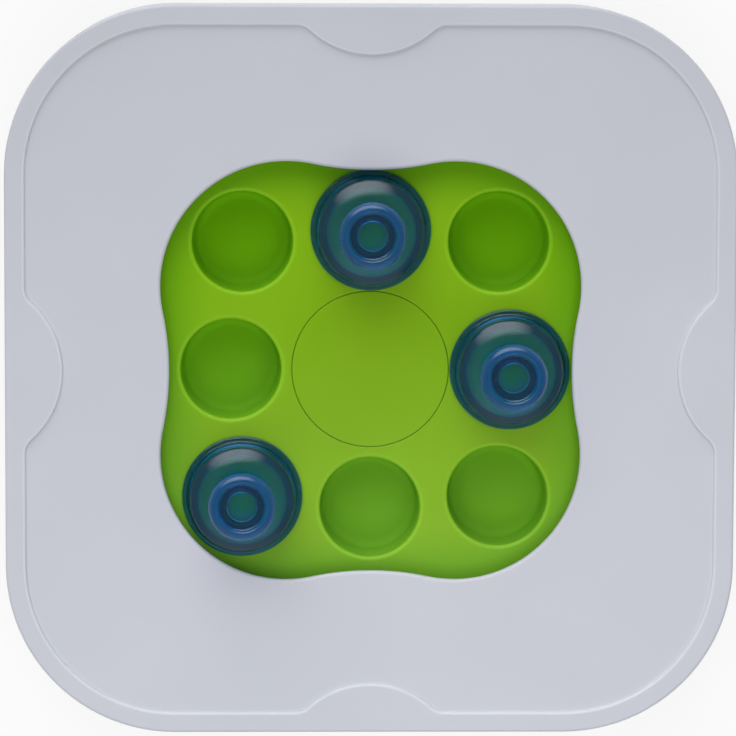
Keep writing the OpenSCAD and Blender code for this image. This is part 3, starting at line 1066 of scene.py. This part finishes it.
# %% Screws
screw_r = 1.4
head_r = 3
head_h = 1.8
head_round = 0.6


def screw_template(name, seat, tip):
    blank = turn_piece(name, np.vstack([
        [(0, seat - head_h), (head_r - 2 * head_round, seat - head_h)],
        arc((head_r - head_round, seat - head_h + head_round), head_round, 270, 360, 5),
        [(head_r, seat), (screw_r, seat), (screw_r, tip - screw_r), (screw_r / 2, tip), (0, tip)],
    ]), (0, 0, 0), screw_steel, segments=40)
    work = bmesh.new()
    under = Matrix.Translation((0, 0, (seat - head_h) * MM))
    for turn in (0, 90):
        bar = Matrix.Rotation(math.radians(turn), 4, "Z") @ Matrix.Diagonal(
            (head_r * 1.2 * MM, head_r / 4 * MM, head_h * 1.2 * MM, 1))
        bmesh.ops.create_cube(work, size=1, matrix=under @ bar)
    mesh = bpy.data.meshes.new(name + ".bars")
    work.to_mesh(mesh)
    work.free()
    bars = bpy.data.objects.new(name + ".bars", mesh)
    bpy.context.scene.collection.objects.link(bars)
    cut = blank.modifiers.new("recess", "BOOLEAN")
    cut.object = bars
    cut.use_self = True
    graph = bpy.context.evaluated_depsgraph_get()
    blank.data = bpy.data.meshes.new_from_object(blank.evaluated_get(graph))
    blank.modifiers.remove(cut)
    bpy.data.objects.remove(bars)
    return blank


for name, node, places in (("cover_screw_set", "cover_screws", post_places),
                           ("tray_screw_set", "tray_screws", [(tray_post_at, 0)])):
    low, high = box_mm(node)
    template = screw_template(name + "_one", low.z + head_h, high.z)
    screws = copy_piece(name, template, quarter_turns(places), screw_steel)
    hand_over(screws, "board", "screw_steel", node)

# %% [markdown]
# ## Feet and cover
# Four rubber feet keep the board from sliding. Each is turned, with two shallow grooves in its sole.
# The flat bottom cover is right as it was constructed, so it only gets the shell's finish.

# %% Feet and cover
foot_edge = 1.2
groove = 0.3
for node in ("front_left_foot", "front_right_foot", "rear_left_foot", "rear_right_foot"):
    low, high = box_mm(node)
    middle = (low + high) / 2
    foot_r = (high.x - low.x) / 2
    sole = [(0, 0)]
    for share in (0.35, 0.6):
        inner = foot_r * share
        sole += [(inner, 0), (inner + groove, groove), (inner + 2 * groove, groove),
                 (inner + 3 * groove, 0)]
    profile = np.vstack([
        sole, arc((foot_r - foot_edge, foot_edge), foot_edge, 270, 360, 6),
        [(foot_r, high.z), (0, high.z)],
    ])
    foot = turn_piece(node + "_rubber", profile, (middle.x, middle.y, 0), foot_rubber, segments=64)
    hand_over(foot, "board", "foot_rubber", node)

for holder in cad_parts["bottom_cover"].material_slots:
    holder.material = shell_plastic
print("cover finish:", [holder.material.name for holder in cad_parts["bottom_cover"].material_slots])


# %% [markdown]
# ## Floor, light and camera
# The board lies on white under a soft sky, bright low down and darker overhead, with a wide glow
# behind and a weaker one in front that the clear cones mirror. One faint lamp near the front fills
# the wells. Lamps alone would throw hard shadows there. The floor looks white to the camera, to
# reflections and through the cones, but keeps a trace of the shadow. The camera looks almost
# straight down from far away.

# %% Floor
def seen_rays(tree):
    """1 for rays that show the floor: from the camera, by reflection or through clear plastic."""
    path = tree.nodes.new("ShaderNodeLightPath")
    total = path.outputs["Is Camera Ray"]
    for label in ("Is Glossy Ray", "Is Transmission Ray"):
        total = maths(tree, "MAXIMUM", total, path.outputs[label])
    return total


floor_reach = 30
floor_glow = 0.85


def make_floor():
    mesh = bpy.data.meshes.new("floor")
    corners = [(x * floor_reach, y * floor_reach, 0) for x, y in ((-1, -1), (1, -1), (1, 1), (-1, 1))]
    mesh.from_pydata(corners, [], [(0, 1, 2, 3)])
    floor = bpy.data.objects.new("floor", mesh)
    bpy.context.scene.collection.objects.link(floor)
    material, tree, shader = start_finish("white floor")
    shader.inputs["Base Color"].default_value = (0.85, 0.85, 0.85, 1)
    shader.inputs["Roughness"].default_value = 0.9
    glow = tree.nodes.new("ShaderNodeEmission")
    share = maths(tree, "MULTIPLY", seen_rays(tree), floor_glow)
    mixed = tree.nodes.new("ShaderNodeMixShader")
    tree.links.new(share, mixed.inputs[0])
    tree.links.new(shader.outputs[0], mixed.inputs[1])
    tree.links.new(glow.outputs[0], mixed.inputs[2])
    tree.links.new(mixed.outputs[0], tree.nodes["Material Output"].inputs["Surface"])
    mesh.materials.append(material)
    print(f"floor: {2 * floor_reach} m wide, {material.name}")


make_floor()


# %% Sky and lamp
def make_sky(*glows, horizon, side, overhead):
    """A sky that darkens upward, with soft glows: a strength, a direction and an edge's cosine."""
    world = bpy.data.worlds.new("soft sky")
    world.use_nodes = True
    bpy.context.scene.world = world
    tree = world.node_tree
    where = tree.nodes.new("ShaderNodeTexCoord").outputs["Generated"]
    total = None
    up = (0, 0, 1)
    layers = [(up, 0, 0.4, horizon, side), (up, 0.64, 0.94, 0, overhead - side)]
    layers += [(towards, edge, 1, 0, strength) for strength, towards, edge in glows]
    for direction, low, high, first, last in layers:
        straight_at = Vector(direction).normalized()
        facing = maths(tree, "DOT_PRODUCT", where, straight_at, "ShaderNodeVectorMath", 1)
        part = ramp(tree, facing, low, high, first, last)
        total = maths(tree, "ADD", total, part) if total else part
    background = tree.nodes["Background"]
    background.inputs["Color"].default_value = (1, 1, 1, 1)
    tree.links.new(total, background.inputs["Strength"])


def soft_lamp(name, place, size, power):
    lamp = bpy.data.lights.new(name, "AREA")
    lamp.size = size
    lamp.energy = power
    light = bpy.data.objects.new(name, lamp)
    light.location = place
    light.rotation_euler = (-Vector(place)).to_track_quat("-Z", "Y").to_euler()
    light.visible_camera = False
    light.visible_glossy = False
    bpy.context.scene.collection.objects.link(light)


rear_glow = (3.0, (-0.15, 0.82, 0.53), 0.77)
front_glow = (0.32, (0, -0.82, 0.57), 0.65)
make_sky(rear_glow, front_glow, horizon=0.6, side=0.2, overhead=0.13)
soft_lamp("faint lamp near the front", place=(0, -0.18, 0.57), size=0.5, power=1.66)
print("light:", bpy.context.scene.world.name, "and", [lamp.name for lamp in bpy.data.lights])


# %% Camera
def make_camera(aim, distance, tilt, yaw, roll, lens):
    lens_data = bpy.data.cameras.new("camera")
    lens_data.sensor_width = 36
    lens_data.lens = lens
    camera = bpy.data.objects.new("camera", lens_data)
    camera.matrix_world = (
        Matrix.Translation(aim)
        @ Matrix.Rotation(math.radians(yaw), 4, "Y")
        @ Matrix.Rotation(math.radians(-tilt), 4, "X")
        @ Matrix.Rotation(math.radians(roll), 4, "Z")
        @ Matrix.Translation((0, 0, distance)))
    bpy.context.scene.collection.objects.link(camera)
    bpy.context.scene.camera = camera


aim = Vector((-0.75, 0.37, tray_z)) * MM
make_camera(aim, distance=1.5, tilt=6.0, yaw=-1.4, roll=0.2, lens=213.3)
bpy.context.scene.view_settings.view_transform = "Standard"
print("camera at", [round(value, 2) for value in bpy.context.scene.camera.matrix_world.translation])
